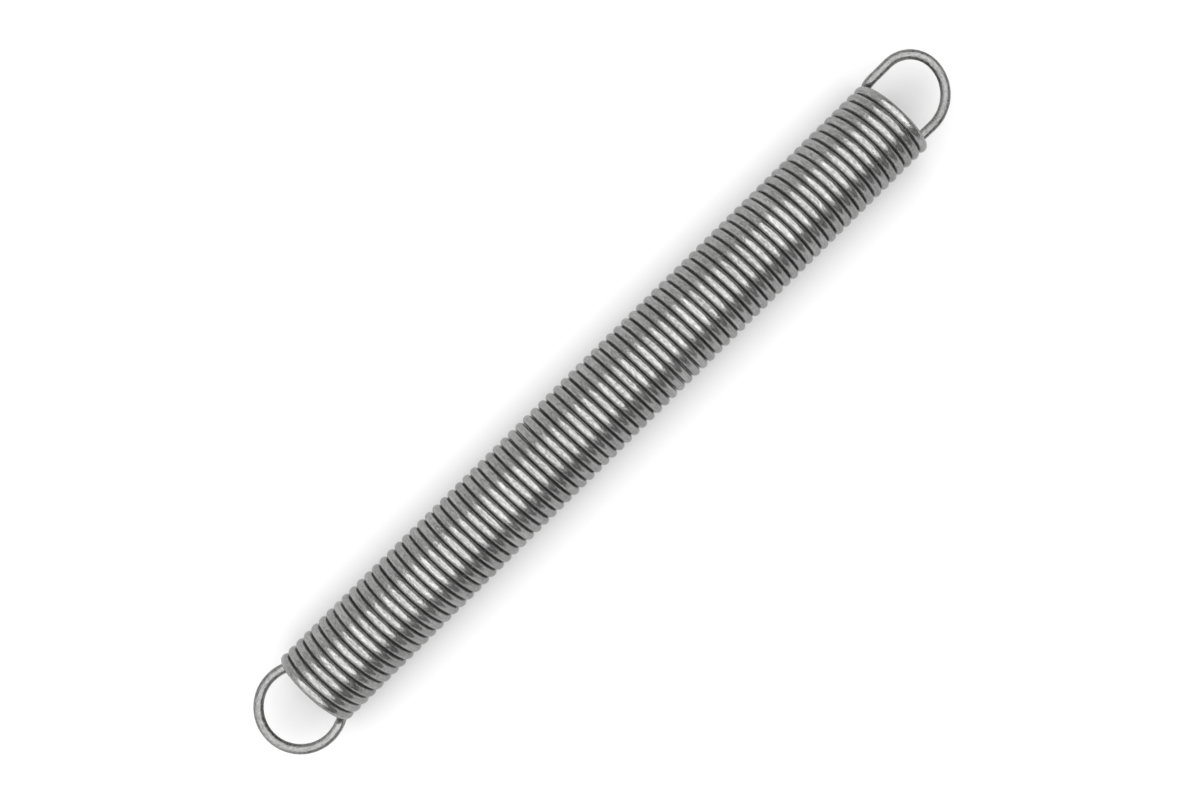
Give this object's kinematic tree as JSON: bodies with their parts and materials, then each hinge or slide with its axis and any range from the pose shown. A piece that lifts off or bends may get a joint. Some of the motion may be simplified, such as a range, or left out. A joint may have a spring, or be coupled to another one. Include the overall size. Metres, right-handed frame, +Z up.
{
  "type": "extension spring",
  "caption": "Close-wound helical extension spring of round steel wire with a full loop at each end, lying on its side.",
  "frame": {"origin": "on the surface the spring lies on, below the middle of the axis of the coils", "axes": "+X along the axis of the coils, towards the skewed loop; +Z up, square to the plane of both loops"},
  "size_m": [0.1858, 0.0191, 0.018],
  "materials": {
    "drawn_steel": "satin drawn wire: fine draw marks along it, a mottled dark film and small pits"
  },
  "bodies": {
    "root": {"spring_wire": "drawn_steel"}
  },
  "joints": []
}
